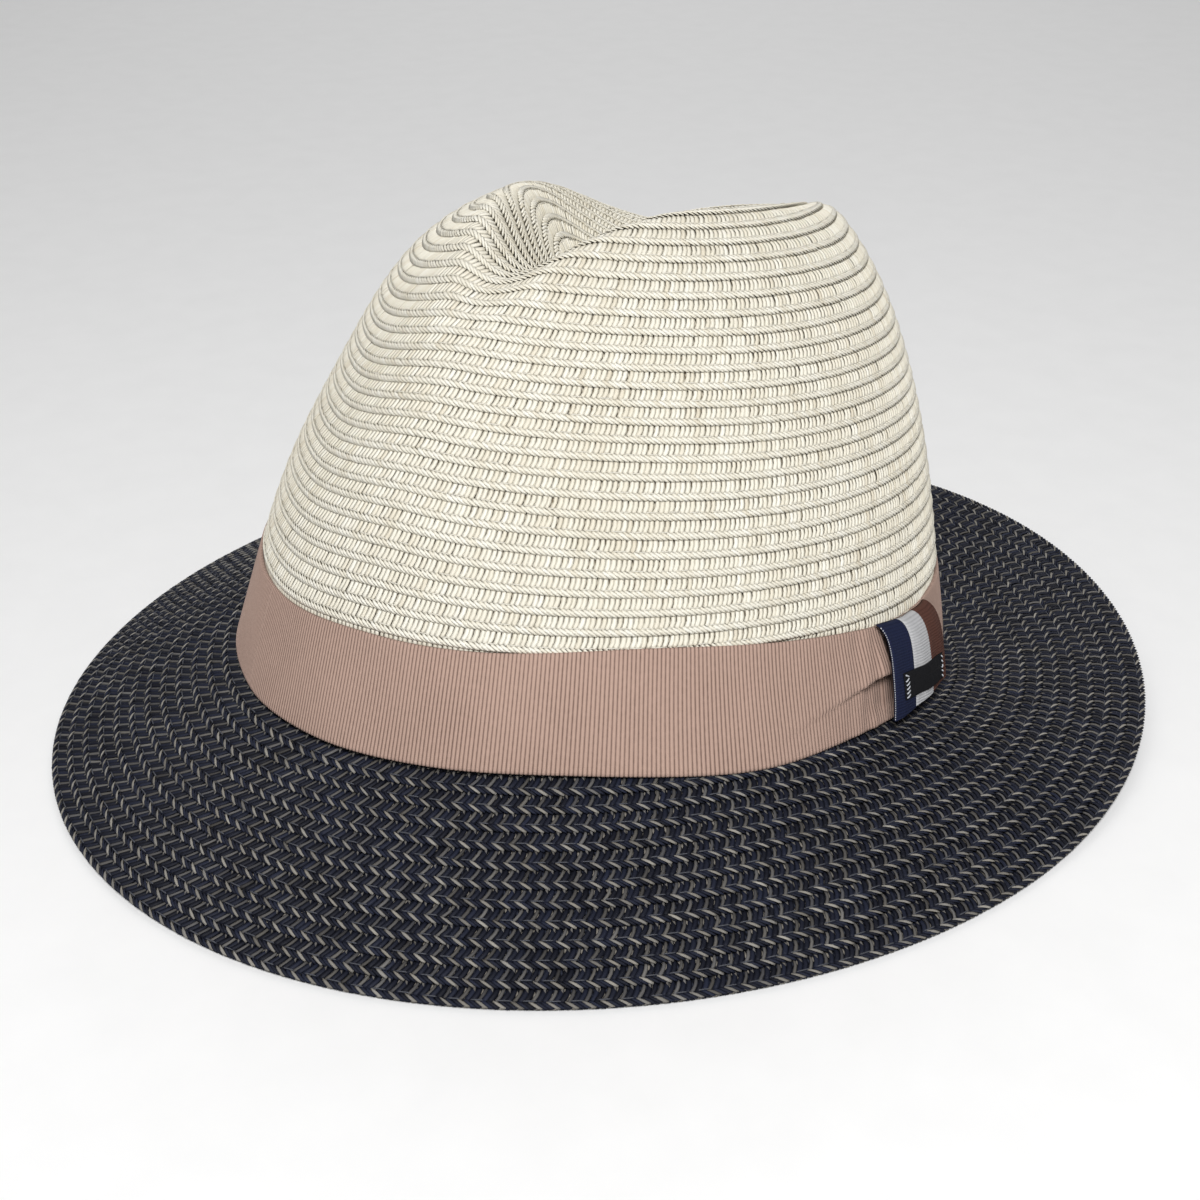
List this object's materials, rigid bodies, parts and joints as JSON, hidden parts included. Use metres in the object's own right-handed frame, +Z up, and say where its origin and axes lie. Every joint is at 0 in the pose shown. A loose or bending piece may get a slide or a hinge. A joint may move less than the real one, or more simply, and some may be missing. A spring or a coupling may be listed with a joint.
{
  "type": "fedora hat",
  "caption": "Short-brimmed fedora sewn in a spiral from flat paper-straw braid, light crown and dark brim, with a tan ribbon band and a striped side loop.",
  "frame": {"origin": "centre of the brim's outline, on the surface the hat stands on", "axes": "+Z up, -Y towards the wearer's front, +X towards the wearer's left"},
  "size_m": [0.2784, 0.3058, 0.1444],
  "materials": {
    "braid_light": "matte woven paper straw",
    "braid_dark": "matte woven paper straw, navy-black with grey-beige strands",
    "ribbon_tan": "ribbed grosgrain",
    "trim_navy": "ribbed grosgrain",
    "trim_white": "ribbed grosgrain",
    "trim_brown": "ribbed grosgrain",
    "label_black": "plain woven label, blank",
    "stitch_light": "sewing thread",
    "sweatband_dark": "soft woven band",
    "tape_dark": "twill tape"
  },
  "bodies": {
    "root": {"crown_braid": "braid_light", "brim_braid": "braid_dark", "hatband": "ribbon_tan", "trim_stripe_navy": "trim_navy", "trim_stripe_white": "trim_white", "trim_stripe_brown": "trim_brown", "trim_label": "label_black", "label_stitch_front": "stitch_light", "label_stitch_rear": "stitch_light", "sweatband": "sweatband_dark", "sweatband_join_tape": "tape_dark"}
  },
  "joints": []
}
